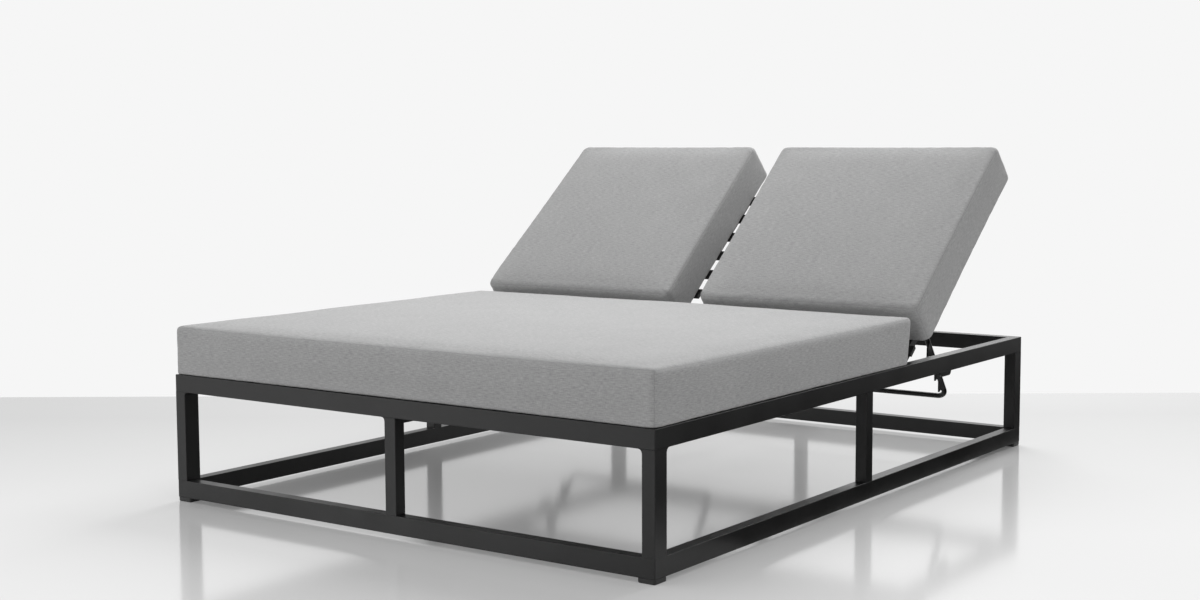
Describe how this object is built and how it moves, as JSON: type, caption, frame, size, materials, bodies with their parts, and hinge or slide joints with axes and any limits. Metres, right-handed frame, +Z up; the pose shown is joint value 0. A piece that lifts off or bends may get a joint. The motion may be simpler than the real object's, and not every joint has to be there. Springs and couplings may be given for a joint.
{
  "type": "double chaise lounger",
  "caption": "Wide outdoor daybed lounger: an open black metal base, a thick seat cushion and two backs that recline separately on notched stays.",
  "frame": {"origin": "centre of the base's footprint, on the floor under the glides", "axes": "+Z up, +Y from the foot end to the head end, +X to the right seen from the foot end"},
  "size_m": [1.5, 2.014, 0.9214],
  "materials": {
    "powder_coat": "fine black powder coat, satin",
    "black_fastener": "black coated steel",
    "bare_stud": "turned steel, worn where the hooks bear",
    "black_plastic": "moulded black plastic",
    "bush_plastic": "natural nylon",
    "cushion_fabric": "heathered grey woven outdoor fabric"
  },
  "bodies": {
    "base": {"foot_low_rail": "powder_coat", "foot_top_rail": "powder_coat", "head_low_rail": "powder_coat", "head_top_rail": "powder_coat", "left_low_rail": "powder_coat", "left_top_rail": "powder_coat", "right_low_rail": "powder_coat", "right_top_rail": "powder_coat", "foot_left_post": "powder_coat", "foot_right_post": "powder_coat", "head_left_post": "powder_coat", "head_right_post": "powder_coat", "foot_middle_post": "powder_coat", "head_middle_post": "powder_coat", "left_middle_post": "powder_coat", "right_middle_post": "powder_coat", "glides": "black_plastic", "pivot_beam": "powder_coat", "front_centre_beam": "powder_coat", "rear_centre_beam": "powder_coat", "seat_slats": "powder_coat", "hinge_ears": "powder_coat", "hinge_bolts": "black_fastener", "hinge_nuts": "black_fastener", "hinge_washers": "black_fastener", "left_stud_bracket": "powder_coat", "right_stud_bracket": "powder_coat", "left_stud": "bare_stud", "right_stud": "bare_stud", "centre_stud_rod": "bare_stud", "stud_rod_collars": "powder_coat", "seat_cushion": "cushion_fabric"},
    "right_back": {"right_back_outer_tube": "powder_coat", "right_back_inner_tube": "powder_coat", "right_hinge_bushes": "bush_plastic", "right_back_tube_caps": "black_plastic", "right_back_slats": "powder_coat", "right_back_slat_caps": "black_plastic", "right_stay_lugs": "powder_coat", "right_stay_bolts": "black_fastener", "right_stay_nuts": "black_fastener", "right_back_cushion": "cushion_fabric"},
    "right_stay": {"right_stay_rod": "powder_coat", "right_notched_plates": "powder_coat"},
    "left_back": {"left_back_outer_tube": "powder_coat", "left_back_inner_tube": "powder_coat", "left_hinge_bushes": "bush_plastic", "left_back_tube_caps": "black_plastic", "left_back_slats": "powder_coat", "left_back_slat_caps": "black_plastic", "left_stay_lugs": "powder_coat", "left_stay_bolts": "black_fastener", "left_stay_nuts": "black_fastener", "left_back_cushion": "cushion_fabric"},
    "left_stay": {"left_stay_rod": "powder_coat", "left_notched_plates": "powder_coat"}
  },
  "joints": [
    {"name": "right_recline", "type": "hinge", "parent": "base", "child": "right_back", "pos_m": [0, 0.295, 0.3125], "axis": [1, 0, 0], "range_deg": [-38.7, 13]},
    {"name": "right_stay_fold", "type": "hinge", "parent": "right_back", "child": "right_stay", "pos_m": [0, 0.46141, 0.41507], "axis": [1, 0, 0], "range_deg": [-14, 40]},
    {"name": "left_recline", "type": "hinge", "parent": "base", "child": "left_back", "pos_m": [0, 0.295, 0.3125], "axis": [1, 0, 0], "range_deg": [-38.7, 13]},
    {"name": "left_stay_fold", "type": "hinge", "parent": "left_back", "child": "left_stay", "pos_m": [0, 0.46141, 0.41507], "axis": [1, 0, 0], "range_deg": [-14, 40]}
  ],
  "couplings": [
    {"joint": "right_stay_fold", "follows": "right_recline", "ratio": -1},
    {"joint": "left_stay_fold", "follows": "left_recline", "ratio": -1}
  ]
}
